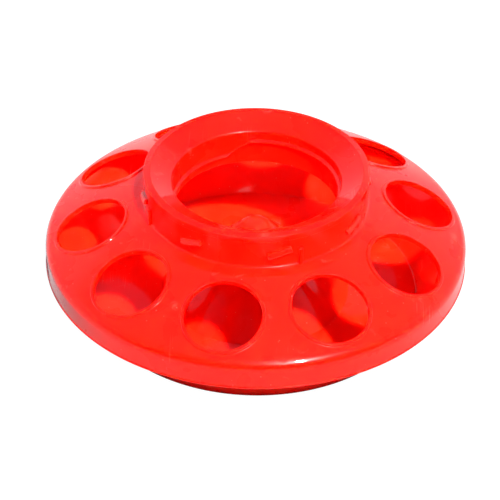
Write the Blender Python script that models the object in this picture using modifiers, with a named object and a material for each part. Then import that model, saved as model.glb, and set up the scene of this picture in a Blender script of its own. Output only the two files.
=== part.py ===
"""A screw-on jar feeder base in two mouldings: a domed cover with feed holes, and the pan below it.

Metres, +Z up. The origin is the centre of the pan's flat bottom. Both mouldings are turned about Z, and
the cover lifts off the pan straight along Z. A jar of feed screws neck-down into the collar.
"""

import math

import bmesh
import bpy
from mathutils import Matrix, Vector

MM = 0.001

# Both mouldings
WALL = 1.6 * MM
GAP = 0.4 * MM
TURN_STEPS = 72
FILLET_STEP = math.radians(32)
MERGE_DISTANCE = 0.01 * MM

# Cover: the skirt and the dome, which is part of a sphere centred on the axis below the pan
LIP_RADIUS = 91.5 * MM
LIP_HEIGHT = 0.6 * MM
LIP_DEPTH = 0.3 * MM
SKIRT_FOOT_Z = 20.5 * MM
DOME_RADIUS = 183.7 * MM
DOME_CENTRE_Z = -127.9 * MM
DOME_STEPS = 7
SHOULDER_FILLET = 5.3 * MM

# Cover: the collar and its funnel mouth
COLLAR_RADIUS = 47.9 * MM
COLLAR_FILLET = 1.5 * MM
RIM_BAND_DEPTH = 0.3 * MM
RIM_BAND_HEIGHT = 3.2 * MM
RIM_Z = 65.1 * MM
RIM_WIDTH = 2.8 * MM
RIM_FILLET = 1.2 * MM
THROAT_TOP_RADIUS = 36.0 * MM
THROAT_TOP_Z = 59.8 * MM
THROAT_FOOT_RADIUS = 35.4 * MM
THROAT_FOOT_Z = 44.5 * MM
THROAT_FILLET = 1.5 * MM

# Cover: the feed holes, square to the dome, each with a raised bead
HOLE_COUNT = 10
HOLE_RADIUS = 16.0 * MM
HOLE_RING_RADIUS = 71.2 * MM
FIRST_HOLE_ANGLE = math.radians(-100.4)
BEAD_WIDTH = 1.6 * MM
BEAD_HEIGHT = 0.45 * MM
BEAD_ROOT = 0.8 * MM
HOLE_CUTTER_REACH = 4 * WALL
HOLE_SIDES = 32

# Cover: one turn of right-hand jar thread inside the throat
THREAD_RADIUS = 35.5 * MM
THREAD_BEAD = 1.3 * MM
THREAD_PITCH = 5.08 * MM
THREAD_FOOT_Z = 49.1 * MM
THREAD_START_ANGLE = math.radians(114)
THREAD_SWEEP = math.radians(341)
THREAD_POINTS = 60

# Cover: slanted lugs and upright stop ribs around the collar
LUG_COUNT = 8
LUG_SIZE = Vector((10.4, 2.4, 1.5)) * MM
LUG_SLOPE = math.radians(16)
LUG_Z = 56.2 * MM
FIRST_LUG_ANGLE = math.radians(-78.3)
RIB_COUNT = 4
RIB_SIZE = Vector((1.3, 2.0, 8.6)) * MM
RIB_Z = 52.7 * MM
FIRST_RIB_ANGLE = math.radians(-67.4)

# Pan
PAN_FLOOR = 1.7 * MM
PAN_FOOT_RADIUS = 72.2 * MM
PAN_FOOT_FILLET = 5.0 * MM
PAN_RIM_Z = 29.0 * MM
CONE_SLOPE = math.radians(45)
CONE_TIP_Z = 39.0 * MM
CONE_TIP_RADIUS = 9.2 * MM
CONE_FOOT_FILLET = 6.0 * MM
CONE_TIP_STEPS = 4

COVER_RED = (1.0, 0.035, 0.015, 1.0)
PAN_RED = (0.95, 0.02, 0.01, 1.0)
PLASTIC_ROUGHNESS = 0.28


def clear_scene():
    """Remove every object that the file starts with."""
    for thing in list(bpy.data.objects):
        bpy.data.objects.remove(thing, do_unlink=True)


def new_collection(name):
    collection = bpy.data.collections.new(name)
    bpy.context.scene.collection.children.link(collection)
    return collection


def plastic(name, colour):
    """Return a glossy moulded plastic."""
    material = bpy.data.materials.new(name)
    material.use_nodes = True
    shader = material.node_tree.nodes["Principled BSDF"]
    shader.inputs["Base Color"].default_value = colour
    shader.inputs["Roughness"].default_value = PLASTIC_ROUGHNESS
    shader.inputs["Metallic"].default_value = 0.0
    return material


def dome_height(radius, shell=0.0):
    """Return the height of the dome at a radius; shell is the depth below its outer surface."""
    return DOME_CENTRE_Z + math.sqrt((DOME_RADIUS - shell) ** 2 - radius ** 2)


def dome_arc(start, end, shell=0.0):
    """Return plain outline corners along the dome, between two radii and without the end points."""
    corners = []
    for step in range(1, DOME_STEPS):
        radius = start + (end - start) * step / DOME_STEPS
        corners.append((radius, dome_height(radius, shell), 0.0))
    return corners


def rounded(corners):
    """Turn (radius, height, fillet) corners into outline points, with each fillet as an arc."""
    points = []
    for index, (radius, height, fillet) in enumerate(corners):
        corner = Vector((radius, height))
        if fillet == 0.0:
            points.append(corner)
            continue
        before = (Vector(corners[index - 1][:2]) - corner).normalized()
        after = (Vector(corners[(index + 1) % len(corners)][:2]) - corner).normalized()
        half_angle = before.angle(after) / 2
        centre = corner + (before + after).normalized() * fillet / math.sin(half_angle)
        spoke = corner + before * fillet / math.tan(half_angle) - centre
        sweep = math.copysign(math.pi - 2 * half_angle, after.cross(before))
        steps = max(1, round(abs(sweep) / FILLET_STEP))
        for step in range(steps + 1):
            points.append(centre + Matrix.Rotation(sweep * step / steps, 2) @ spoke)
    return points


def turned(name, points, closed, collection, material):
    """Turn an outline, which runs down its outer side, about Z."""
    edges = [(index, index + 1) for index in range(len(points) - 1)]
    if closed:
        edges.append((len(points) - 1, 0))
    mesh = bpy.data.meshes.new(name)
    mesh.from_pydata([(point.x, 0.0, point.y) for point in points], edges, [])
    body = bpy.data.objects.new(name, mesh)
    collection.objects.link(body)
    mesh.materials.append(material)
    screw = body.modifiers.new("turn", "SCREW")
    screw.axis = "Z"
    screw.steps = TURN_STEPS
    screw.render_steps = TURN_STEPS
    screw.use_merge_vertices = True
    screw.merge_threshold = MERGE_DISTANCE
    screw.use_smooth_shade = True
    return body


def keep_as_operand(thing, collection):
    """Move an object that only shapes another one into a collection of its own kind."""
    for owner in list(thing.users_collection):
        owner.objects.unlink(thing)
    collection.objects.link(thing)
    thing.hide_render = True
    thing.display_type = "WIRE"


def around(angle, radius, height):
    """Return a frame on a circle about Z: X along the circle, Y outwards, Z up."""
    spin = Matrix.Rotation(angle - math.pi / 2, 4, "Z")
    return spin @ Matrix.Translation((0.0, radius, height))


def hole_frame(index):
    """Return a frame at a feed hole: its origin in the plane of the hole's edge, and Z out of the dome."""
    angle = FIRST_HOLE_ANGLE + index * 2 * math.pi / HOLE_COUNT
    to_edge = math.sqrt(DOME_RADIUS ** 2 - HOLE_RADIUS ** 2)
    tilt = math.asin(HOLE_RING_RADIUS / to_edge)
    height = DOME_CENTRE_Z + to_edge * math.cos(tilt)
    return around(angle, HOLE_RING_RADIUS, height) @ Matrix.Rotation(-tilt, 4, "X")


def disc(name, frame, foot, top, foot_radius, top_radius, collection):
    """Add a round plug between two heights of a frame."""
    bpy.ops.mesh.primitive_cone_add(
        vertices=HOLE_SIDES, radius1=foot_radius, radius2=top_radius, depth=top - foot)
    plug = bpy.context.object
    plug.name = name
    plug.matrix_world = frame @ Matrix.Translation((0.0, 0.0, (top + foot) / 2))
    keep_as_operand(plug, collection)


def block(name, frame, size, collection):
    """Add a rectangular block centred on a frame."""
    bpy.ops.mesh.primitive_cube_add(size=1.0)
    brick = bpy.context.object
    brick.name = name
    brick.data.transform(Matrix.Diagonal((*size, 1.0)))
    brick.matrix_world = frame
    keep_as_operand(brick, collection)


def add_hole_beads(collection):
    for index in range(HOLE_COUNT):
        foot_radius = HOLE_RADIUS + BEAD_WIDTH
        top_radius = foot_radius - BEAD_HEIGHT
        disc(f"hole_bead_{index}", hole_frame(index), -BEAD_ROOT, BEAD_HEIGHT,
             foot_radius, top_radius, collection)


def add_hole_cutters(collection):
    for index in range(HOLE_COUNT):
        disc(f"feed_hole_{index}", hole_frame(index), -HOLE_CUTTER_REACH, HOLE_CUTTER_REACH,
             HOLE_RADIUS, HOLE_RADIUS, collection)


def add_lugs(collection):
    for index in range(LUG_COUNT):
        angle = FIRST_LUG_ANGLE + index * 2 * math.pi / LUG_COUNT
        slope = Matrix.Rotation(LUG_SLOPE, 4, "Y")
        block(f"lug_{index}", around(angle, COLLAR_RADIUS, LUG_Z) @ slope, LUG_SIZE, collection)


def add_ribs(collection):
    for index in range(RIB_COUNT):
        angle = FIRST_RIB_ANGLE + index * 2 * math.pi / RIB_COUNT
        block(f"rib_{index}", around(angle, COLLAR_RADIUS, RIB_Z), RIB_SIZE, collection)


def add_thread(collection):
    """Add the jar thread, a round bead along a helix that is half sunk in the throat's wall."""
    path = bpy.data.curves.new("jar_thread_path", "CURVE")
    path.dimensions = "3D"
    path.bevel_depth = THREAD_BEAD
    path.bevel_resolution = 2
    path.use_fill_caps = True
    spline = path.splines.new("POLY")
    spline.points.add(THREAD_POINTS)
    for index, point in enumerate(spline.points):
        turn = THREAD_SWEEP * index / THREAD_POINTS
        angle = THREAD_START_ANGLE + turn
        height = THREAD_FOOT_Z + THREAD_PITCH * turn / (2 * math.pi)
        point.co = (THREAD_RADIUS * math.cos(angle), THREAD_RADIUS * math.sin(angle), height, 1.0)
    tube = bpy.data.objects.new("jar_thread_tube", path)
    bpy.context.scene.collection.objects.link(tube)
    bpy.context.view_layer.update()
    shape = bpy.data.meshes.new_from_object(tube.evaluated_get(bpy.context.evaluated_depsgraph_get()))
    weld(shape)
    thread = bpy.data.objects.new("jar_thread", shape)
    thread.matrix_world = tube.matrix_world
    bpy.data.objects.remove(tube, do_unlink=True)
    keep_as_operand(thread, collection)


def weld(mesh):
    """Join the caps of a converted tube to its side."""
    shape = bmesh.new()
    shape.from_mesh(mesh)
    bmesh.ops.remove_doubles(shape, verts=shape.verts, dist=MERGE_DISTANCE)
    shape.to_mesh(mesh)
    shape.free()


def combine(body, name, operation, collection):
    """Join or cut a body with every object of a collection."""
    boolean = body.modifiers.new(name, "BOOLEAN")
    boolean.operand_type = "COLLECTION"
    boolean.collection = collection
    boolean.operation = operation
    boolean.solver = "EXACT"


def cover_outline():
    """Return the cover's section: down its outer side from the rim, and back up its inner side."""
    skirt_radius = LIP_RADIUS - LIP_DEPTH
    skirt_inside = skirt_radius - WALL
    collar_inside = COLLAR_RADIUS - WALL
    rim_radius = COLLAR_RADIUS + RIM_BAND_DEPTH
    band_foot_z = RIM_Z - RIM_BAND_HEIGHT
    lip_top_z = SKIRT_FOOT_Z + LIP_HEIGHT
    funnel_top = Vector((rim_radius - RIM_WIDTH, RIM_Z))
    funnel_foot = Vector((THROAT_TOP_RADIUS, THROAT_TOP_Z))
    slope = (funnel_top.y - funnel_foot.y) / (funnel_top.x - funnel_foot.x)
    funnel_drop = WALL * math.sqrt(1 + slope ** 2)

    def under_funnel(radius):
        return funnel_foot.y + slope * (radius - funnel_foot.x) - funnel_drop

    throat_outside = THROAT_TOP_RADIUS + WALL
    corners = [
        (funnel_top.x, funnel_top.y, RIM_FILLET),
        (rim_radius, RIM_Z, RIM_FILLET),
        (rim_radius, band_foot_z, 0.0),
        (COLLAR_RADIUS, band_foot_z - RIM_BAND_DEPTH, 0.0),
        (COLLAR_RADIUS, dome_height(COLLAR_RADIUS), COLLAR_FILLET),
        *dome_arc(COLLAR_RADIUS, skirt_radius),
        (skirt_radius, dome_height(skirt_radius), SHOULDER_FILLET),
        (skirt_radius, lip_top_z + LIP_DEPTH, 0.0),
        (LIP_RADIUS, lip_top_z, 0.0),
        (LIP_RADIUS, SKIRT_FOOT_Z, 0.0),
        (skirt_inside, SKIRT_FOOT_Z, 0.0),
        (skirt_inside, dome_height(skirt_inside, WALL), SHOULDER_FILLET - WALL),
        *dome_arc(skirt_inside, collar_inside, WALL),
        (collar_inside, dome_height(collar_inside, WALL), 0.0),
        (collar_inside, under_funnel(collar_inside), 0.0),
        (throat_outside, under_funnel(throat_outside), 0.0),
        (THROAT_FOOT_RADIUS + WALL, THROAT_FOOT_Z, 0.0),
        (THROAT_FOOT_RADIUS, THROAT_FOOT_Z, 0.0),
        (THROAT_TOP_RADIUS, THROAT_TOP_Z, THROAT_FILLET),
    ]
    return rounded(corners)


def cone_tip(tip_z, tip_radius):
    """Return plain outline corners over the ball tip of the pan's cone, from the axis out."""
    corners = []
    for step in range(CONE_TIP_STEPS + 1):
        lean = CONE_SLOPE * step / CONE_TIP_STEPS
        height = tip_z - tip_radius * (1 - math.cos(lean))
        corners.append((tip_radius * math.sin(lean), height, 0.0))
    return corners


def cone_foot_radius(tip_z, tip_radius, height):
    """Return the radius at which the cone under a ball tip reaches a height."""
    touch_radius = tip_radius * math.sin(CONE_SLOPE)
    touch_z = tip_z - tip_radius * (1 - math.cos(CONE_SLOPE))
    return touch_radius + (touch_z - height) / math.tan(CONE_SLOPE)


def pan_outline():
    """Return the pan's section: out over its inside, down the wall and back under the floor."""
    rim_radius = LIP_RADIUS - LIP_DEPTH - WALL - GAP
    lean = (rim_radius - PAN_FOOT_RADIUS) / PAN_RIM_Z
    wall_width = WALL * math.sqrt(1 + lean ** 2)
    floor_corner = PAN_FOOT_RADIUS + lean * PAN_FLOOR - wall_width
    under_tip_z = CONE_TIP_Z - WALL
    under_tip_radius = CONE_TIP_RADIUS - WALL
    cone_foot = cone_foot_radius(CONE_TIP_Z, CONE_TIP_RADIUS, PAN_FLOOR)
    hollow_foot = cone_foot_radius(under_tip_z, under_tip_radius, 0.0)
    corners = [
        *cone_tip(CONE_TIP_Z, CONE_TIP_RADIUS),
        (cone_foot, PAN_FLOOR, CONE_FOOT_FILLET),
        (floor_corner, PAN_FLOOR, PAN_FOOT_FILLET),
        (rim_radius - wall_width, PAN_RIM_Z, 0.0),
        (rim_radius, PAN_RIM_Z, 0.0),
        (PAN_FOOT_RADIUS, 0.0, PAN_FOOT_FILLET + WALL),
        (hollow_foot, 0.0, CONE_FOOT_FILLET - WALL),
        *reversed(cone_tip(under_tip_z, under_tip_radius)),
    ]
    return rounded(corners)


def build():
    clear_scene()
    parts = new_collection("jar_feeder_base")
    additions = new_collection("cover_additions")
    cutters = new_collection("cover_cutters")

    cover = turned("cover", cover_outline(), True, parts, plastic("cover_plastic", COVER_RED))
    add_hole_beads(additions)
    add_lugs(additions)
    add_ribs(additions)
    add_thread(additions)
    add_hole_cutters(cutters)
    combine(cover, "join_additions", "UNION", additions)
    combine(cover, "cut_feed_holes", "DIFFERENCE", cutters)

    turned("pan", pan_outline(), False, parts, plastic("pan_plastic", PAN_RED))


build()
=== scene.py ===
"""The looks of the jar feeder base: finely moulded cover and pan, red plastic, floor, light and camera.

Metres, +Z up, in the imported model's frame. Both mouldings are turned about Z. The cover's dome is part of
a sphere, and each feed hole has its own patch of dome around it, so its bead flows out of the surface.
The thread, lugs and ribs are melted into the cover, so that each moulding is one closed surface.
"""

import math

import bmesh
import bpy
import numpy as np
from mathutils import Matrix, Vector


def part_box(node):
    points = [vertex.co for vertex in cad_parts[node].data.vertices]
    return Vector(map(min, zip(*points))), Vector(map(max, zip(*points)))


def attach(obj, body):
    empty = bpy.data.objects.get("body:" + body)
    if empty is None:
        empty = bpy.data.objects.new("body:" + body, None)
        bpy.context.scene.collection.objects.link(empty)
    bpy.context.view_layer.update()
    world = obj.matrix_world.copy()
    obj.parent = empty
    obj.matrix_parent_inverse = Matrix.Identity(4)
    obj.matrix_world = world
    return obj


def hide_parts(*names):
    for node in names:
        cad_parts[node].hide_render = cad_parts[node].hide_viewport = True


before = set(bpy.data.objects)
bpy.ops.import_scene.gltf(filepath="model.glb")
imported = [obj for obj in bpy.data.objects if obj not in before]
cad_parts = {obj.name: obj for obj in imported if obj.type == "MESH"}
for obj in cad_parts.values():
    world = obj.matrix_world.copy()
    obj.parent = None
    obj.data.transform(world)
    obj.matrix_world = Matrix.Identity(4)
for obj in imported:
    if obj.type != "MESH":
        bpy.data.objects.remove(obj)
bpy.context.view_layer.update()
cover_low, cover_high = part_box("cover")
pan_low, pan_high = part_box("pan")

MM = 0.001

# Both mouldings
WALL = 1.6 * MM
FILLET_STEP = math.radians(11)
EDGE = 0.3 * MM
SHARP_ANGLE = math.radians(50)
WELD_DISTANCE = 0.002 * MM

# Cover: the skirt and the dome
LIP_RADIUS = cover_high.x
LIP_HEIGHT = 0.6 * MM
LIP_DEPTH = 0.3 * MM
SKIRT_FOOT_Z = cover_low.z
SKIRT_RADIUS = LIP_RADIUS - LIP_DEPTH
DOME_RADIUS = 183.7 * MM
DOME_CENTRE_Z = -127.9 * MM
SHOULDER_FILLET = 5.3 * MM
SHOULDER_STEPS = 8

# Cover: the collar and its funnel mouth
COLLAR_RADIUS = 48.05 * MM
COLLAR_FILLET = 1.2 * MM
STEP_RADIUS = 52.4 * MM
STEP_DEPTH = 0.15 * MM
RIM_BAND_DEPTH = 0.12 * MM
RIM_BAND_HEIGHT = 3.2 * MM
RIM_Z = cover_high.z
RIM_WIDTH = 2.8 * MM
RIM_DROP = 0.55 * MM
RIM_FILLET = 0.15 * MM
RIM_INNER_FILLET = 0.35 * MM
THROAT_TOP_RADIUS = 36.0 * MM
THROAT_TOP_Z = 59.8 * MM
THROAT_FOOT_RADIUS = 35.4 * MM
THROAT_FOOT_Z = 44.5 * MM
THROAT_FILLET = 1.5 * MM
INNER_DOME_STEPS = 4

# Cover: the feed holes, and the patch of dome round each
HOLE_COUNT = 10
HOLE_RADIUS = 16.0 * MM
HOLE_RING_RADIUS = 71.2 * MM
FIRST_HOLE_ANGLE = math.radians(-100.4)
BEAD_HEIGHT = 0.7 * MM
BEAD_TOP_WIDTH = 1.25 * MM
BEAD_WIDTH = 1.5 * MM
BEAD_ROUND = 0.2 * MM
BEAD_FOOT = 0.55 * MM
PATCH_INNER_RADIUS = 53.4 * MM
PATCH_OUTER_RADIUS = 89.9 * MM
PATCH_INSIDE_OUTER_RADIUS = 87.0 * MM
PATCH_INNER_STEPS = 24
PATCH_SIDE_STEPS = 24
PATCH_OUTER_STEPS = 40
PATCH_RINGS = 8

# Cover: one turn of jar thread, level at both ends, which a thin ramp joins
THREAD_START_ANGLE = math.radians(113)
THREAD_END_ANGLE = math.radians(455)
THREAD_RISE_START = math.radians(165)
THREAD_RISE_END = math.radians(366)
THREAD_LOW_Z = 48.7 * MM
THREAD_HIGH_Z = 54.8 * MM
THREAD_POINTS = 300
RAMP_POINTS = 24
RAMP_SCALE = 0.45
RAMP_PINCH_SHARE = 1 / 6

# Cover: lugs, stop ribs and the mould seam on the collar's wall
LUG_COUNT = 8
LUG_LENGTH = 10.4 * MM
LUG_HEIGHT = 2.2 * MM
LUG_DEPTH = 1.5 * MM
LUG_ROUND = 0.45 * MM
LUG_WEDGE = 0.8 * MM
LUG_SLOPE = math.radians(16)
LUG_Z = 56.2 * MM
FIRST_LUG_ANGLE = math.radians(-78.3)
RIB_COUNT = 4
RIB_WIDTH = 1.7 * MM
RIB_HEIGHT = 8.6 * MM
RIB_DEPTH = 1.2 * MM
RIB_ROUND = 0.4 * MM
RIB_Z = 52.7 * MM
FIRST_RIB_ANGLE = math.radians(-67.4)
BAR_EDGE_STEPS = 4
BAR_END_SHARES = [0.0, 0.15, 0.4, 0.7, 1.0]
BAR_MIDDLE_STEPS = 12
ROOT_DEPTH = 0.15 * MM
SEAM_ANGLE = math.radians(-114.8)
SEAM_WIDTH = 0.35 * MM

# Pan
PAN_STEPS = 320
PAN_FLOOR = 1.7 * MM
PAN_FOOT_RADIUS = 72.2 * MM
PAN_FOOT_FILLET = 1.0 * MM
PAN_RIM_RADIUS = pan_high.x
PAN_RIM_Z = 29.0 * MM
CONE_TIP_Z = pan_high.z
CONE_TIP_RADIUS = 9.2 * MM
CONE_FOOT_FILLET = 0.6 * MM
CONE_TIP_STEPS = 12

# Camera: the photograph's viewing angle
CAMERA_DISTANCE = 0.9096
CAMERA_ELEVATION = math.radians(37.03)
CAMERA_YAW = math.radians(0.156)
CAMERA_PITCH = math.radians(0.067)
CAMERA_ROLL = math.radians(-0.773)
CAMERA_LENS = 149.59
SENSOR_WIDTH = 36.0

# Plastic: linear colours, ramp stops as (position, grey), scratches as (turn, share), scales per metre
# The deep and bright reds also serve as a painted-shade copy and a painted-lit copy of the one plastic
COVER_RED = (0.99, 0.0034, 0.0006)
COVER_BRIGHT_RED = (0.995, 0.0064, 0.0011)
PAN_RED = (0.99, 0.0090, 0.0016)
PAN_BRIGHT_RED = (0.995, 0.0120, 0.0025)
PLASTIC_IOR = 1.49
HAZE_LEVEL = 0.06
HAZE_SCALE = 45.0
HAZE_STOPS = [(0.3, 0.26), (0.75, 0.31)]
HAZE_WEAR = 0.3
GLOSS_IOR = 1.35
COVER_GLOSS_ROUGHNESS = 0.03
PAN_GLOSS_ROUGHNESS = 0.06
SUBSURFACE_WEIGHT = 0.9
SUBSURFACE_RADIUS = (1.0, 0.015, 0.0075)
SUBSURFACE_SCALE = 0.007
FLOW_SCALE = 30.0
FLOW_STRETCH = (1.0, 1.0, 0.35)
FLOW_STOPS = [(0.35, 0.0), (0.65, 0.35)]
# Painted shade: deep red within these radii, inside the collar's mouth and over the pan's middle, and
# brighter, as if lit, from the collar outwards
SHADED_MIDDLE_STOPS = [(40.0 * MM, 0.0), (46.5 * MM, 0.15), (47.8 * MM, 0.65)]
SCRATCH_STRETCH = (3500.0, 45.0, 45.0)
SCRATCH_STOPS = [(0.70, 0.0), (0.76, 1.0)]
SCRATCH_PLACES_SCALE = 42.0
SCRATCH_FADE = 0.08
FIRST_SCRATCHES = ((0.9, 0.4, 0.9), 0.33)
SECOND_SCRATCHES = ((-0.7, 0.8, 2.3), 0.31)
SCUFF_SCALE = 160.0
SCUFF_STOPS = [(0.66, 0.0), (0.76, 1.0)]
SCUFF_WEAR = 0.4
SPECK_SCALE = 210.0
SPECK_STOPS = [(0.04, 1.0), (0.08, 0.0)]
WEAR_COLOUR = (0.95, 0.22, 0.18)
WEAR_PALENESS = 0.3
UNEVEN_DEPTH = 0.12 * MM
SINK_SCALE = 70.0
SINK_SHARE = 0.16
GRAIN_SCALE = 1400.0
GRAIN_SHARE = 0.012
TURNING_SCALE = 900.0
TURNING_PLACES_SCALE = 24.0
TURNING_STOPS = [(0.45, 0.0), (0.7, 1.0)]
TURNING_SHARE = 0.03
CUT_DEPTH = 0.02 * MM
SEAM_SHARE = 0.6
SEAM_WALL = [(-0.6 * MM, 0.0), (-0.3 * MM, 1.0), (0.4 * MM, 1.0), (0.6 * MM, 0.0)]

# Light: the sky's stops are (height, from -1 straight down to 1 straight up; colour)
KEY_DIRECTION = Vector((-0.354, 0.626, -1.0))
KEY_STRENGTH = 12.5
KEY_ANGLE = math.radians(3.0)
ZENITH_BLUE = (0.12, 0.2, 0.34)
HAZE_BLUE = (0.18, 0.28, 0.44)
GROUND_GREY = (0.8, 0.8, 0.8)
TREE_GREY = (0.05, 0.06, 0.05)
NEAR_SKY_STOPS = [
    (-1.0, GROUND_GREY), (-0.04, (0.7, 0.7, 0.7)), (0.02, (0.05, 0.05, 0.05)), (0.6, (0.03, 0.03, 0.04)),
    (0.85, (0.03, 0.05, 0.08)), (0.97, ZENITH_BLUE), (1.0, ZENITH_BLUE),
]
FAR_SKY_STOPS = [
    (-1.0, GROUND_GREY), (0.0, (0.68, 0.68, 0.78)), (0.6, (0.53, 0.61, 0.78)), (0.64, HAZE_BLUE),
    (1.0, ZENITH_BLUE),
]
TREES_STOPS = [
    (-1.0, GROUND_GREY), (0.0, GROUND_GREY), (0.15, TREE_GREY), (0.606, TREE_GREY), (0.612, HAZE_BLUE),
    (1.0, ZENITH_BLUE),
]
SKYLINE_SCALE = 50.0
SKYLINE_ROUGHNESS = 0.008
TREES_TO_SKY = [(0.02, 0.0), (0.05, 1.0)]
NEAR_TO_FAR = [(0.25, 0.0), (0.6, 1.0)]

# Floor
FLOOR_SIZE = 40.0
FLOOR_GREY = 0.06
FLOOR_GLOW = 1.0
FLOOR_BOUNCE = 0.24


def dome_height(radius, shell=0.0):
    """Return the height of the dome at a radius; shell is the depth below its outer surface."""
    return DOME_CENTRE_Z + math.sqrt((DOME_RADIUS - shell) ** 2 - radius ** 2)


def rounded(corners):
    """Turn (radius, height, fillet) corners into outline points, with each fillet as an arc."""
    points = []
    for index, (radius, height, fillet) in enumerate(corners):
        corner = Vector((radius, height))
        if fillet == 0.0:
            points.append(corner)
            continue
        before = (Vector(corners[index - 1][:2]) - corner).normalized()
        after = (Vector(corners[(index + 1) % len(corners)][:2]) - corner).normalized()
        half_angle = before.angle(after) / 2
        centre = corner + (before + after).normalized() * fillet / math.sin(half_angle)
        spoke = corner + before * fillet / math.tan(half_angle) - centre
        sweep = math.copysign(math.pi - 2 * half_angle, after.cross(before))
        steps = max(2, round(abs(sweep) / FILLET_STEP))
        for step in range(steps + 1):
            points.append(centre + Matrix.Rotation(sweep * step / steps, 2) @ spoke)
    return points


def dome_corners(start, end, steps, shell=0.0):
    """Return plain outline corners along the dome from one radius to another."""
    corners = []
    for step in range(steps + 1):
        radius = start + (end - start) * step / steps
        corners.append((radius, dome_height(radius, shell), 0.0))
    return corners


def lattice(rows, around=False):
    """Return (points, quads) for rows of equally many points; around closes each row into a ring."""
    rows = np.asarray(rows, float)
    count, width = rows.shape[:2]
    quads = []
    for row in range(count - 1):
        for column in range(width if around else width - 1):
            right = (column + 1) % width
            quads.append((row * width + column, (row + 1) * width + column,
                          (row + 1) * width + right, row * width + right))
    return rows.reshape(-1, 3), quads


def turned(outline, angles, around=True):
    """Return (points, quads) for an outline turned about the Z axis through the angles."""
    angles = np.asarray(angles)
    rows = [np.stack([point.x * np.cos(angles), point.x * np.sin(angles),
                      np.full(len(angles), point.y)], axis=1) for point in outline]
    return lattice(rows, around)


def welded_object(name, patches):
    """Join patches of (points, quads) into one object with a closed surface."""
    shape = bmesh.new()
    for points, quads in patches:
        corners = [shape.verts.new(point) for point in points]
        for quad in quads:
            shape.faces.new([corners[index] for index in quad])
    bmesh.ops.remove_doubles(shape, verts=shape.verts, dist=WELD_DISTANCE)
    bmesh.ops.recalc_face_normals(shape, faces=shape.faces)
    mesh = bpy.data.meshes.new(name)
    shape.to_mesh(mesh)
    shape.free()
    body = bpy.data.objects.new(name, mesh)
    bpy.context.scene.collection.objects.link(body)
    return body


def melt_in(body, details):
    """Melt the details into the body, as one closed surface without materials, and remove them."""
    union = body.modifiers.new("union", "BOOLEAN")
    union.operation = "UNION"
    union.solver = "MANIFOLD"
    union.object = details
    evaluated = body.evaluated_get(bpy.context.evaluated_depsgraph_get())
    melted = bpy.data.meshes.new_from_object(evaluated)
    melted.materials.clear()
    body.modifiers.clear()
    body.data = melted
    bpy.data.objects.remove(details)


def shade_evenly(body):
    """Shade the body smooth, apart from its sharp edges."""
    body.data.shade_smooth()
    body.data.set_sharp_from_angle(angle=SHARP_ANGLE)
    even_shading = body.modifiers.new("even_shading", "WEIGHTED_NORMAL")
    even_shading.keep_sharp = True


# ---- Cover: dome patches -------------------------------------------------------------------------------

def shoulder_centre(radius, fillet, shell):
    """Return the centre of the shoulder's fillet, between the dome and the skirt, in the section."""
    centre_radius = radius - fillet
    centre_z = DOME_CENTRE_Z + math.sqrt((DOME_RADIUS - shell - fillet) ** 2 - centre_radius ** 2)
    return centre_radius, centre_z


def settled(point):
    """Move a point on the dome's sphere down onto the shoulder's fillet where that cuts the dome."""
    radius = math.hypot(point.x, point.y)
    centre_radius, centre_z = shoulder_centre(SKIRT_RADIUS, SHOULDER_FILLET, 0.0)
    touch_radius = centre_radius * DOME_RADIUS / (DOME_RADIUS - SHOULDER_FILLET)
    if radius <= touch_radius:
        return point
    drop = math.sqrt(max(SHOULDER_FILLET ** 2 - (radius - centre_radius) ** 2, 0.0))
    return Vector((point.x, point.y, centre_z + drop))


def patch_border(outer_radius):
    """Return (angle, radius) round a feed hole's patch, as angles from the hole and radii from the axis."""
    half = math.pi / HOLE_COUNT
    width = outer_radius - PATCH_INNER_RADIUS
    border = []
    for step in range(PATCH_INNER_STEPS):
        border.append((-half + 2 * half * step / PATCH_INNER_STEPS, PATCH_INNER_RADIUS))
    for step in range(PATCH_SIDE_STEPS):
        border.append((half, PATCH_INNER_RADIUS + width * step / PATCH_SIDE_STEPS))
    for step in range(PATCH_OUTER_STEPS):
        border.append((half - 2 * half * step / PATCH_OUTER_STEPS, outer_radius))
    for step in range(PATCH_SIDE_STEPS):
        border.append((-half, outer_radius - width * step / PATCH_SIDE_STEPS))
    return border


def bead_profile():
    """Return (distance from the hole's axis, height over the dome) from inside the hole to the dome."""
    corners = [
        (HOLE_RADIUS, -WALL / 2, 0.0),
        (HOLE_RADIUS, BEAD_HEIGHT, BEAD_ROUND),
        (HOLE_RADIUS + BEAD_TOP_WIDTH, BEAD_HEIGHT, BEAD_ROUND),
        (HOLE_RADIUS + BEAD_WIDTH, 0.0, BEAD_FOOT),
        (HOLE_RADIUS + 2 * BEAD_WIDTH - BEAD_FOOT, 0.0, 0.0),
    ]
    return [(point.x, point.y) for point in rounded(corners)]


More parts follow.
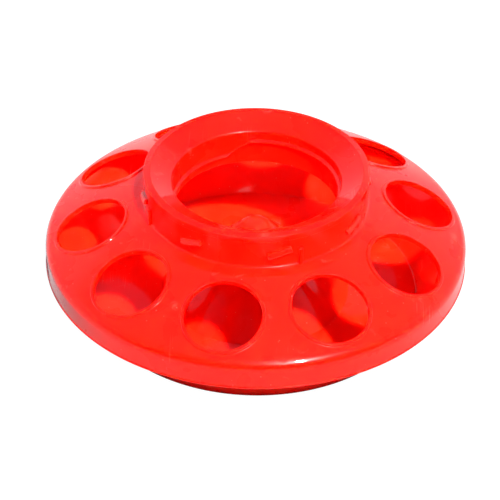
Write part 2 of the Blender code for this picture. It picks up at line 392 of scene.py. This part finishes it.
def hole_patch(index, shell, outer_radius, profile):
    """Return the lattice of dome round one feed hole, at a depth below the dome, and its innermost row."""
    sphere = DOME_RADIUS - shell
    middle = FIRST_HOLE_ANGLE + index * 2 * math.pi / HOLE_COUNT
    tilt = math.asin(HOLE_RING_RADIUS / math.sqrt(DOME_RADIUS ** 2 - HOLE_RADIUS ** 2))
    pole = Vector((math.sin(tilt) * math.cos(middle), math.sin(tilt) * math.sin(middle), math.cos(tilt)))
    centre = Vector((0.0, 0.0, DOME_CENTRE_Z))
    columns = []
    for angle, radius in patch_border(outer_radius):
        edge = Vector((radius * math.cos(middle + angle), radius * math.sin(middle + angle),
                       dome_height(radius, shell))) - centre
        away = (edge - pole * edge.dot(pole)).normalized()
        reach = edge.angle(pole)
        column = []
        for distance, height in profile:
            lean = math.asin(distance / sphere)
            ray = pole * math.cos(lean) + away * math.sin(lean)
            base = centre + ray * sphere
            if shell == 0.0:
                base = settled(base)
            column.append(base + ray * height)
        first = math.asin(profile[-1][0] / sphere)
        for ring in range(1, PATCH_RINGS + 1):
            lean = first + (reach - first) * ring / PATCH_RINGS
            base = centre + (pole * math.cos(lean) + away * math.sin(lean)) * sphere
            column.append(settled(base) if shell == 0.0 else base)
        columns.append(column)
    rows = [[column[row] for column in columns] for row in range(len(columns[0]))]
    return lattice(rows, around=True), rows[0]


def dome_patches():
    """Return the patches of dome round every feed hole, outside and inside, and the holes' walls."""
    patches = []
    for index in range(HOLE_COUNT):
        outside, outside_edge = hole_patch(index, 0.0, PATCH_OUTER_RADIUS, bead_profile())
        inside, inside_edge = hole_patch(index, WALL, PATCH_INSIDE_OUTER_RADIUS, [(HOLE_RADIUS, 0.0)])
        patches += [outside, inside, lattice([outside_edge, inside_edge], around=True)]
    return patches


def sector_angles(steps):
    """Return the angles round the whole cover of the borders' points, with this many for each hole."""
    half = math.pi / HOLE_COUNT
    return [FIRST_HOLE_ANGLE - half + 2 * half * (hole + step / steps)
            for hole in range(HOLE_COUNT) for step in range(steps)]


# ---- Cover: turned parts -------------------------------------------------------------------------------

def collar_outline():
    """Return the section of the collar, throat and funnel, from the dome inside to the dome outside."""
    collar_inside = COLLAR_RADIUS - WALL
    rim_radius = COLLAR_RADIUS + RIM_BAND_DEPTH
    band_foot_z = RIM_Z - RIM_BAND_HEIGHT
    funnel_top = Vector((rim_radius - RIM_WIDTH, RIM_Z))
    funnel_foot = Vector((THROAT_TOP_RADIUS, THROAT_TOP_Z))
    slope = (funnel_top.y - funnel_foot.y) / (funnel_top.x - funnel_foot.x)
    funnel_drop = WALL * math.sqrt(1 + slope ** 2)

    def under_funnel(radius):
        return funnel_foot.y + slope * (radius - funnel_foot.x) - funnel_drop

    throat_outside = THROAT_TOP_RADIUS + WALL
    corners = [
        *reversed(dome_corners(collar_inside, PATCH_INNER_RADIUS, INNER_DOME_STEPS, WALL)[1:]),
        (collar_inside, dome_height(collar_inside, WALL), EDGE),
        (collar_inside, under_funnel(collar_inside), EDGE),
        (throat_outside, under_funnel(throat_outside), EDGE),
        (THROAT_FOOT_RADIUS + WALL, THROAT_FOOT_Z, EDGE),
        (THROAT_FOOT_RADIUS, THROAT_FOOT_Z, EDGE),
        (THROAT_TOP_RADIUS, THROAT_TOP_Z, THROAT_FILLET),
        (funnel_top.x, funnel_top.y, RIM_INNER_FILLET),
        (rim_radius, RIM_Z - RIM_DROP, RIM_FILLET),
        (rim_radius, band_foot_z, EDGE / 2),
        (COLLAR_RADIUS, band_foot_z - RIM_BAND_DEPTH, EDGE / 2),
        (COLLAR_RADIUS, dome_height(COLLAR_RADIUS) - STEP_DEPTH, COLLAR_FILLET),
        (STEP_RADIUS - STEP_DEPTH, dome_height(STEP_RADIUS - STEP_DEPTH) - STEP_DEPTH, 0.0),
        (STEP_RADIUS + STEP_DEPTH, dome_height(STEP_RADIUS + STEP_DEPTH), 0.0),
        (PATCH_INNER_RADIUS, dome_height(PATCH_INNER_RADIUS), 0.0),
    ]
    return rounded(corners)


def skirt_outline():
    """Return the section of the shoulder and skirt, from the dome outside to the dome inside."""
    points = []
    centre_radius, centre_z = shoulder_centre(SKIRT_RADIUS, SHOULDER_FILLET, 0.0)
    start = math.acos((PATCH_OUTER_RADIUS - centre_radius) / SHOULDER_FILLET)
    for step in range(SHOULDER_STEPS + 1):
        lean = start * (1 - step / SHOULDER_STEPS)
        points.append(Vector((centre_radius + SHOULDER_FILLET * math.cos(lean),
                              centre_z + SHOULDER_FILLET * math.sin(lean))))
    inside_radius = SKIRT_RADIUS - WALL
    lip_top_z = SKIRT_FOOT_Z + LIP_HEIGHT
    lip = [
        (SKIRT_RADIUS, centre_z, 0.0),
        (SKIRT_RADIUS, lip_top_z + LIP_DEPTH, EDGE),
        (LIP_RADIUS, lip_top_z, EDGE),
        (LIP_RADIUS, SKIRT_FOOT_Z, EDGE),
        (inside_radius, SKIRT_FOOT_Z, EDGE),
        (inside_radius, centre_z, 0.0),
    ]
    points += rounded(lip)[1:-1]
    inside_fillet = SHOULDER_FILLET - WALL
    centre_radius, centre_z = shoulder_centre(inside_radius, inside_fillet, WALL)
    end = math.acos(centre_radius / (DOME_RADIUS - WALL - inside_fillet))
    for step in range(SHOULDER_STEPS + 1):
        lean = end * step / SHOULDER_STEPS
        points.append(Vector((centre_radius + inside_fillet * math.cos(lean),
                              centre_z + inside_fillet * math.sin(lean))))
    points.append(Vector((PATCH_INSIDE_OUTER_RADIUS, dome_height(PATCH_INSIDE_OUTER_RADIUS, WALL))))
    return points


# ---- Cover: thread, lugs and ribs ----------------------------------------------------------------------

def thread_section():
    """Return (inwards from the throat's wall, up) round the thread's section, a ledge with a round edge."""
    return [(-ROOT_DEPTH, 1.3 * MM), (0.0, 1.25 * MM), (0.9 * MM, 0.68 * MM), (1.1 * MM, 0.5 * MM),
            (1.22 * MM, 0.28 * MM), (1.25 * MM, 0.05 * MM), (1.18 * MM, -0.15 * MM), (1.0 * MM, -0.27 * MM),
            (0.5 * MM, -0.35 * MM), (0.0, -0.42 * MM), (-ROOT_DEPTH, -0.45 * MM)]


def throat_radius(height):
    """Return the throat wall's radius at a height."""
    share = (height - THROAT_FOOT_Z) / (THROAT_TOP_Z - THROAT_FOOT_Z)
    return THROAT_FOOT_RADIUS + share * (THROAT_TOP_RADIUS - THROAT_FOOT_RADIUS)


def thread_rows(angles, heights, scales):
    """Return the thread's section swept along angles and heights, with its own scale at each."""
    rows = []
    for angle, height, scale in zip(angles, heights, scales):
        row = []
        for inwards, up in thread_section():
            radius = throat_radius(height) - (inwards * scale if inwards > 0 else inwards)
            row.append((radius * math.cos(angle), radius * math.sin(angle), height + up * scale))
        rows.append(row)
    return rows


def smooth_share(value, start, end):
    """Return 0 before start and 1 after end, with a smooth rise between."""
    share = min(max((value - start) / (end - start), 0.0), 1.0)
    return share * share * (3 - 2 * share)


def thread_patch():
    """Return the jar thread and the thin ramp that joins its ends, as one closed sweep."""
    angles = []
    heights = []
    scales = []
    for step in range(THREAD_POINTS):
        angle = THREAD_START_ANGLE + (THREAD_END_ANGLE - THREAD_START_ANGLE) * step / (THREAD_POINTS - 1)
        angles.append(angle)
        rise = smooth_share(angle, THREAD_RISE_START, THREAD_RISE_END)
        heights.append(THREAD_LOW_Z + (THREAD_HIGH_Z - THREAD_LOW_Z) * rise)
        scales.append(1.0)
    closing = THREAD_START_ANGLE + 2 * math.pi - THREAD_END_ANGLE
    for step in range(1, RAMP_POINTS):
        share = step / RAMP_POINTS
        angles.append(THREAD_END_ANGLE + closing * share)
        heights.append(THREAD_HIGH_Z + (THREAD_LOW_Z - THREAD_HIGH_Z) * share)
        pinch = min(1.0, min(share, 1 - share) / RAMP_PINCH_SHARE)
        scales.append(1.0 - (1.0 - RAMP_SCALE) * pinch)
    rows = thread_rows(angles, heights, scales)
    columns = [[row[index] for row in rows] for index in range(len(rows[0]))]
    columns.append(columns[0])
    return lattice(columns, around=True)


def bar_section(width, depth, corner):
    """Return (across, out from the wall) round a bar's section, from below the wall and back."""
    section = [(-width / 2, -ROOT_DEPTH)]
    for turn in range(BAR_EDGE_STEPS + 1):
        lean = math.radians(90) * turn / BAR_EDGE_STEPS
        section.append((-width / 2 + corner - corner * math.cos(lean),
                        depth - corner + corner * math.sin(lean)))
    for turn in range(BAR_EDGE_STEPS + 1):
        lean = math.radians(90) * (1 - turn / BAR_EDGE_STEPS)
        section.append((width / 2 - corner + corner * math.cos(lean),
                        depth - corner + corner * math.sin(lean)))
    section.append((width / 2, -ROOT_DEPTH))
    return section


def bar_stations(length, corner):
    """Return (place along a bar, share of its full depth there) from one rounded end to the other."""
    stations = []
    for share in BAR_END_SHARES:
        stations.append((-length / 2 + corner * share, math.sqrt(1 - (1 - share) ** 2)))
    for step in range(1, BAR_MIDDLE_STEPS):
        stations.append((-length / 2 + corner + (length - 2 * corner) * step / BAR_MIDDLE_STEPS, 1.0))
    for share in reversed(BAR_END_SHARES):
        stations.append((length / 2 - corner * share, math.sqrt(1 - (1 - share) ** 2)))
    return stations


def wall_bar(angle, height, length, width, depth, corner, slope, wedge):
    """Return a rounded bar on the collar's wall; a wedge makes its lower edge stand out more."""
    section = bar_section(width, depth, corner)
    rows = []
    for along, fullness in bar_stations(length, corner):
        row = []
        for across, out in section:
            level = along * math.cos(slope) - across * math.sin(slope)
            up = along * math.sin(slope) + across * math.cos(slope)
            lift = out if out < 0 else out - corner * (1 - fullness)
            if out > 0:
                lift -= wedge * across / width
            radius = COLLAR_RADIUS + lift
            turn = angle + level / COLLAR_RADIUS
            row.append((radius * math.cos(turn), radius * math.sin(turn), height + up))
        rows.append(row)
    points, quads = lattice(rows)
    width_count = len(section)
    last_row = (len(rows) - 1) * width_count
    quads.append(tuple(range(width_count)))
    quads.append(tuple(range(last_row, last_row + width_count)))
    for row in range(len(rows) - 1):
        first = row * width_count
        quads.append((first, first + width_count - 1, first + 2 * width_count - 1, first + width_count))
    return points, quads


def collar_bars():
    """Return the lugs and stop ribs on the collar's wall."""
    bars = []
    for index in range(LUG_COUNT):
        angle = FIRST_LUG_ANGLE + index * 2 * math.pi / LUG_COUNT
        bars.append(wall_bar(angle, LUG_Z, LUG_LENGTH, LUG_HEIGHT, LUG_DEPTH, LUG_ROUND,
                             LUG_SLOPE, LUG_WEDGE))
    for index in range(RIB_COUNT):
        angle = FIRST_RIB_ANGLE + index * 2 * math.pi / RIB_COUNT
        bars.append(wall_bar(angle, RIB_Z, RIB_HEIGHT, RIB_WIDTH, RIB_DEPTH, RIB_ROUND, math.pi / 2, 0.0))
    return bars


def make_cover():
    """Make the cover's moulding, with its thread, lugs and ribs melted in."""
    patches = dome_patches()
    patches.append(turned(collar_outline(), sector_angles(PATCH_INNER_STEPS)))
    patches.append(turned(skirt_outline(), sector_angles(PATCH_OUTER_STEPS)))
    cover = welded_object("cover_moulding", patches)
    melt_in(cover, welded_object("cover_details", [thread_patch(), *collar_bars()]))
    shade_evenly(cover)
    return cover


# ---- Pan -----------------------------------------------------------------------------------------------

def cone_tip(tip_z, tip_radius):
    """Return plain outline corners over the ball tip of the pan's 45 degree cone, from the axis out."""
    corners = []
    for step in range(1, CONE_TIP_STEPS + 1):
        lean = math.radians(45) * step / CONE_TIP_STEPS
        height = tip_z - tip_radius * (1 - math.cos(lean))
        corners.append((tip_radius * math.sin(lean), height, 0.0))
    return corners


def cone_foot_radius(tip_z, tip_radius, height):
    """Return the radius at which the 45 degree cone under a ball tip reaches a height."""
    return tip_z - tip_radius + tip_radius * math.sqrt(2) - height


def make_pan():
    """Make the pan's moulding: a turned section, closed at both tips of the cone."""
    lean = (PAN_RIM_RADIUS - PAN_FOOT_RADIUS) / PAN_RIM_Z
    wall_width = WALL * math.sqrt(1 + lean ** 2)
    floor_corner = PAN_FOOT_RADIUS + lean * PAN_FLOOR - wall_width
    under_tip_z = CONE_TIP_Z - WALL
    under_tip_radius = CONE_TIP_RADIUS - WALL
    corners = [
        *cone_tip(CONE_TIP_Z, CONE_TIP_RADIUS),
        (cone_foot_radius(CONE_TIP_Z, CONE_TIP_RADIUS, PAN_FLOOR), PAN_FLOOR, CONE_FOOT_FILLET),
        (floor_corner, PAN_FLOOR, PAN_FOOT_FILLET),
        (PAN_RIM_RADIUS - wall_width, PAN_RIM_Z, 2 * EDGE),
        (PAN_RIM_RADIUS, PAN_RIM_Z, EDGE),
        (PAN_FOOT_RADIUS, 0.0, PAN_FOOT_FILLET + WALL),
        (cone_foot_radius(under_tip_z, under_tip_radius, 0.0), 0.0, CONE_FOOT_FILLET),
        *reversed(cone_tip(under_tip_z, under_tip_radius)),
    ]
    angles = [2 * math.pi * step / PAN_STEPS for step in range(PAN_STEPS)]
    points, quads = turned(rounded(corners), angles)
    tips = [(0.0, 0.0, CONE_TIP_Z), (0.0, 0.0, under_tip_z)]
    last = len(points) - PAN_STEPS
    points = np.vstack([points, tips])
    for step in range(PAN_STEPS):
        after = (step + 1) % PAN_STEPS
        quads.append((len(points) - 2, step, after))
        quads.append((len(points) - 1, last + after, last + step))
    pan = welded_object("pan_moulding", [(points, quads)])
    shade_evenly(pan)
    return pan


# ---- Material ------------------------------------------------------------------------------------------

def ramp(tree, value, stops):
    """Return the colour output of a ramp over a value; its stops are (position, grey or colour)."""
    node = tree.nodes.new("ShaderNodeValToRGB")
    stops = [(position, (*colour, 1.0) if isinstance(colour, tuple) else (colour, colour, colour, 1.0))
             for position, colour in stops]
    node.color_ramp.elements[0].position, node.color_ramp.elements[0].color = stops[0]
    node.color_ramp.elements[1].position, node.color_ramp.elements[1].color = stops[-1]
    for position, colour in stops[1:-1]:
        node.color_ramp.elements.new(position).color = colour
    tree.links.new(value, node.inputs["Fac"])
    return node.outputs["Color"]


def blend(tree, share, first, second):
    """Return the mix of two colours; each is an output or a colour tuple."""
    node = tree.nodes.new("ShaderNodeMix")
    node.data_type = "RGBA"
    tree.links.new(share, node.inputs["Factor"])
    for socket, colour in ((node.inputs["A"], first), (node.inputs["B"], second)):
        if isinstance(colour, tuple):
            socket.default_value = (*colour, 1.0)
        else:
            tree.links.new(colour, socket)
    return node.outputs["Result"]


def noise(tree, place, scale, detail, stretch=(1.0, 1.0, 1.0), turn=(0.0, 0.0, 0.0), distortion=0.0):
    """Return a noise over a place, which is stretched and turned first."""
    mapping = tree.nodes.new("ShaderNodeMapping")
    mapping.inputs["Rotation"].default_value = turn
    mapping.inputs["Scale"].default_value = stretch
    tree.links.new(place, mapping.inputs["Vector"])
    texture = tree.nodes.new("ShaderNodeTexNoise")
    texture.inputs["Scale"].default_value = scale
    texture.inputs["Detail"].default_value = detail
    texture.inputs["Distortion"].default_value = distortion
    tree.links.new(mapping.outputs["Vector"], texture.inputs["Vector"])
    return texture.outputs["Fac"]


def combined(tree, operation, first, second):
    """Return an output added to or multiplied by an output or a number; a sum stays between 0 and 1."""
    node = tree.nodes.new("ShaderNodeMath")
    node.operation = operation
    node.use_clamp = operation == "ADD"
    tree.links.new(first, node.inputs[0])
    if isinstance(second, float):
        node.inputs[1].default_value = second
    else:
        tree.links.new(second, node.inputs[1])
    return node.outputs["Value"]


def scratches(tree, place, turn, share):
    """Return a mask of straight hairline scratches one way, in a few places; share sets how many."""
    lines = noise(tree, place, scale=1.0, detail=0.0, stretch=SCRATCH_STRETCH, turn=turn)
    thin = ramp(tree, lines, SCRATCH_STOPS)
    places = noise(tree, place, SCRATCH_PLACES_SCALE, detail=1.0, turn=turn)
    shown = ramp(tree, places, [(1.0 - share, 0.0), (1.0 + SCRATCH_FADE - share, 1.0)])
    return combined(tree, "MULTIPLY", thin, shown)


def specks(tree, place):
    """Return a mask of small specks of dust and nicks."""
    texture = tree.nodes.new("ShaderNodeTexVoronoi")
    texture.inputs["Scale"].default_value = SPECK_SCALE
    tree.links.new(place, texture.inputs["Vector"])
    return ramp(tree, texture.outputs["Distance"], SPECK_STOPS)


def handling_wear(tree, place):
    """Return a mask of everything that handling left: two runs of scratches, specks and scuffs."""
    marks = combined(tree, "ADD", scratches(tree, place, *FIRST_SCRATCHES),
                     scratches(tree, place, *SECOND_SCRATCHES))
    scuffs = ramp(tree, noise(tree, place, SCUFF_SCALE, detail=4.0, distortion=0.6), SCUFF_STOPS)
    dust = specks(tree, place)
    return combined(tree, "ADD", combined(tree, "ADD", marks, dust),
                    combined(tree, "MULTIPLY", scuffs, SCUFF_WEAR))


def axis_distance(tree, place):
    """Return the distance of a place from the Z axis."""
    flat = tree.nodes.new("ShaderNodeVectorMath")
    flat.operation = "MULTIPLY"
    flat.inputs[1].default_value = (1.0, 1.0, 0.0)
    tree.links.new(place, flat.inputs[0])
    length = tree.nodes.new("ShaderNodeVectorMath")
    length.operation = "LENGTH"
    tree.links.new(flat.outputs["Vector"], length.inputs[0])
    return length.outputs["Value"]


def turning_marks(tree, place, radius):
    """Return faint rings round the Z axis, as the mould's turned surfaces leave, which come and go."""
    way = tree.nodes.new("ShaderNodeSeparateXYZ")
    tree.links.new(place, way.inputs["Vector"])
    section = tree.nodes.new("ShaderNodeCombineXYZ")
    tree.links.new(radius, section.inputs["X"])
    tree.links.new(way.outputs["Z"], section.inputs["Z"])
    rings = noise(tree, section.outputs["Vector"], TURNING_SCALE, detail=1.0)
    shown = ramp(tree, noise(tree, place, TURNING_PLACES_SCALE, detail=2.0), TURNING_STOPS)
    return combined(tree, "MULTIPLY", rings, shown)


def mould_seam(tree, place, radius):
    """Return a mask of the fine seam of the mould, up the collar's wall on both its sides."""
    across = tree.nodes.new("ShaderNodeVectorMath")
    across.operation = "DOT_PRODUCT"
    across.inputs[1].default_value = (-math.sin(SEAM_ANGLE), math.cos(SEAM_ANGLE), 0.0)
    tree.links.new(place, across.inputs[0])
    distance = across.outputs["Value"]
    line = ramp(tree, combined(tree, "MULTIPLY", distance, distance),
                [(0.0, 1.0), ((SEAM_WIDTH / 2) ** 2, 0.0)])
    wall = ramp(tree, radius, [(COLLAR_RADIUS + offset, shown) for offset, shown in SEAM_WALL])
    return combined(tree, "MULTIPLY", line, wall)


def uneven_normal(tree, place, radius, wear):
    """Return the normal of a surface with sink, grain and turning marks, cut by the wear and the seam."""
    sink = noise(tree, place, SINK_SCALE, detail=1.0)
    grain = noise(tree, place, GRAIN_SCALE, detail=2.0)
    fine = combined(tree, "ADD", combined(tree, "MULTIPLY", grain, GRAIN_SHARE),
                    combined(tree, "MULTIPLY", turning_marks(tree, place, radius), TURNING_SHARE))
    heights = combined(tree, "ADD", combined(tree, "MULTIPLY", sink, SINK_SHARE), fine)
    bump = tree.nodes.new("ShaderNodeBump")
    bump.inputs["Distance"].default_value = UNEVEN_DEPTH
    bump.inputs["Strength"].default_value = 1.0
    tree.links.new(heights, bump.inputs["Height"])
    cuts = tree.nodes.new("ShaderNodeBump")
    cuts.inputs["Distance"].default_value = CUT_DEPTH
    cuts.inputs["Strength"].default_value = 1.0
    cuts.invert = True
    seam = combined(tree, "MULTIPLY", mould_seam(tree, place, radius), SEAM_SHARE)
    tree.links.new(combined(tree, "ADD", wear, seam), cuts.inputs["Height"])
    tree.links.new(bump.outputs["Normal"], cuts.inputs["Normal"])
    return cuts.outputs["Normal"]


def red_plastic(name, deep, bright, gloss_roughness):
    """Return a glossy, slightly see-through red plastic with flow marks, scratches and painted shade:
    deeper red inside the collar and pan's middle.
    """
    material = bpy.data.materials.new(name)
    material.use_nodes = True
    tree = material.node_tree
    shader = tree.nodes["Principled BSDF"]
    shader.inputs["IOR"].default_value = PLASTIC_IOR
    shader.inputs["Subsurface Weight"].default_value = SUBSURFACE_WEIGHT
    shader.inputs["Subsurface Radius"].default_value = SUBSURFACE_RADIUS
    shader.inputs["Subsurface Scale"].default_value = SUBSURFACE_SCALE
    shader.inputs["Specular IOR Level"].default_value = HAZE_LEVEL
    shader.inputs["Coat Weight"].default_value = 1.0
    shader.inputs["Coat IOR"].default_value = GLOSS_IOR
    shader.inputs["Coat Roughness"].default_value = gloss_roughness
    place = tree.nodes.new("ShaderNodeTexCoord").outputs["Object"]
    wear = handling_wear(tree, place)
    radius = axis_distance(tree, place)

    clouds = noise(tree, place, FLOW_SCALE, detail=3.0, stretch=FLOW_STRETCH, distortion=1.2)
    flow = ramp(tree, clouds, FLOW_STOPS)
    # Painted shade: near the axis the colour stays deep red, and from the collar outwards it turns to the
    # bright red, as if lit
    middle = ramp(tree, radius, SHADED_MIDDLE_STOPS)
    clean = blend(tree, combined(tree, "ADD", flow, middle), deep, bright)
    worn = blend(tree, combined(tree, "MULTIPLY", wear, WEAR_PALENESS), clean, WEAR_COLOUR)
    tree.links.new(worn, shader.inputs["Base Color"])

    haze = ramp(tree, noise(tree, place, HAZE_SCALE, detail=4.0), HAZE_STOPS)
    dulled = combined(tree, "ADD", haze, combined(tree, "MULTIPLY", wear, HAZE_WEAR))
    tree.links.new(dulled, shader.inputs["Roughness"])

    normal = uneven_normal(tree, place, radius, wear)
    tree.links.new(normal, shader.inputs["Normal"])
    tree.links.new(normal, shader.inputs["Coat Normal"])
    return material


# ---- Camera, light and floor ---------------------------------------------------------------------------

def add_camera():
    """Add the camera: it looks at the middle of the skirt's foot, and then turns a little."""
    away = Vector((0.0, -math.cos(CAMERA_ELEVATION), math.sin(CAMERA_ELEVATION)))
    place = Vector((0.0, 0.0, SKIRT_FOOT_Z)) + CAMERA_DISTANCE * away
    look = Matrix.Rotation(math.pi / 2 - CAMERA_ELEVATION, 4, "X")
    turn = (Matrix.Rotation(CAMERA_YAW, 4, "Y") @ Matrix.Rotation(CAMERA_PITCH, 4, "X")
            @ Matrix.Rotation(-CAMERA_ROLL, 4, "Z"))
    camera_data = bpy.data.cameras.new("camera")
    camera_data.lens = CAMERA_LENS
    camera_data.sensor_width = SENSOR_WIDTH
    camera = bpy.data.objects.new("camera", camera_data)
    camera.matrix_world = Matrix.Translation(place) @ look @ turn
    bpy.context.scene.collection.objects.link(camera)
    bpy.context.scene.camera = camera


def add_key():
    """Add the key light, which comes over the camera's right shoulder."""
    key_data = bpy.data.lights.new("key", "SUN")
    key_data.energy = KEY_STRENGTH
    key_data.angle = KEY_ANGLE
    key = bpy.data.objects.new("key", key_data)
    key.rotation_euler = KEY_DIRECTION.to_track_quat("-Z", "Y").to_euler()
    bpy.context.scene.collection.objects.link(key)


def add_sky():
    """Add the surroundings: dark on the near side, bright on the far side, with trees in its middle."""
    world = bpy.data.worlds.new("sky")
    world.use_nodes = True
    tree = world.node_tree
    place = tree.nodes.new("ShaderNodeTexCoord").outputs["Generated"]
    way = tree.nodes.new("ShaderNodeSeparateXYZ")
    tree.links.new(place, way.inputs["Vector"])
    skyline = combined(tree, "MULTIPLY", noise(tree, place, SKYLINE_SCALE, detail=3.0), SKYLINE_ROUGHNESS)
    height = combined(tree, "ADD", combined(tree, "MULTIPLY", way.outputs["Z"], 0.5),
                      combined(tree, "ADD", skyline, 0.5 - SKYLINE_ROUGHNESS / 2))
    depth = combined(tree, "ADD", combined(tree, "MULTIPLY", way.outputs["Y"], 0.5), 0.5)
    aside = combined(tree, "MULTIPLY", way.outputs["X"], way.outputs["X"])
    near, far, trees = [ramp(tree, height, [((z + 1) / 2, colour) for z, colour in stops])
                        for stops in (NEAR_SKY_STOPS, FAR_SKY_STOPS, TREES_STOPS)]
    far_side = blend(tree, ramp(tree, aside, TREES_TO_SKY), trees, far)
    whole = blend(tree, ramp(tree, depth, NEAR_TO_FAR), near, far_side)
    tree.links.new(whole, tree.nodes["Background"].inputs["Color"])
    bpy.context.scene.world = world


def add_floor():
    """Add the pale floor: the camera sees it evenly pale, and all other rays meet a plain grey."""
    bpy.ops.mesh.primitive_plane_add(size=FLOOR_SIZE, location=(0.0, 0.0, 0.0))
    floor = bpy.context.object
    floor.name = "floor"
    material = bpy.data.materials.new("pale_floor")
    material.use_nodes = True
    tree = material.node_tree
    shader = tree.nodes["Principled BSDF"]
    shader.inputs["Base Color"].default_value = (FLOOR_GREY, FLOOR_GREY, FLOOR_GREY, 1.0)
    shader.inputs["Roughness"].default_value = 1.0
    shader.inputs["Specular IOR Level"].default_value = 0.0
    shader.inputs["Emission Color"].default_value = (1.0, 1.0, 1.0, 1.0)
    shader.inputs["Emission Strength"].default_value = FLOOR_GLOW
    plain = tree.nodes.new("ShaderNodeBsdfDiffuse")
    plain.inputs["Color"].default_value = (FLOOR_BOUNCE, FLOOR_BOUNCE, FLOOR_BOUNCE, 1.0)
    choice = tree.nodes.new("ShaderNodeMixShader")
    tree.links.new(tree.nodes.new("ShaderNodeLightPath").outputs["Is Camera Ray"], choice.inputs["Fac"])
    tree.links.new(plain.outputs["BSDF"], choice.inputs[1])
    tree.links.new(shader.outputs["BSDF"], choice.inputs[2])
    tree.links.new(choice.outputs["Shader"], tree.nodes["Material Output"].inputs["Surface"])
    floor.data.materials.append(material)


add_camera()
add_key()
add_sky()
add_floor()

cover = make_cover()
cover.data.materials.append(red_plastic("cover_red", COVER_RED, COVER_BRIGHT_RED, COVER_GLOSS_ROUGHNESS))
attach(cover, "cover_body")
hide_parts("cover")

pan = make_pan()
pan.data.materials.append(red_plastic("pan_red", PAN_RED, PAN_BRIGHT_RED, PAN_GLOSS_ROUGHNESS))
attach(pan, "pan_body")
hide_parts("pan")

bpy.context.scene.view_settings.view_transform = "Standard"
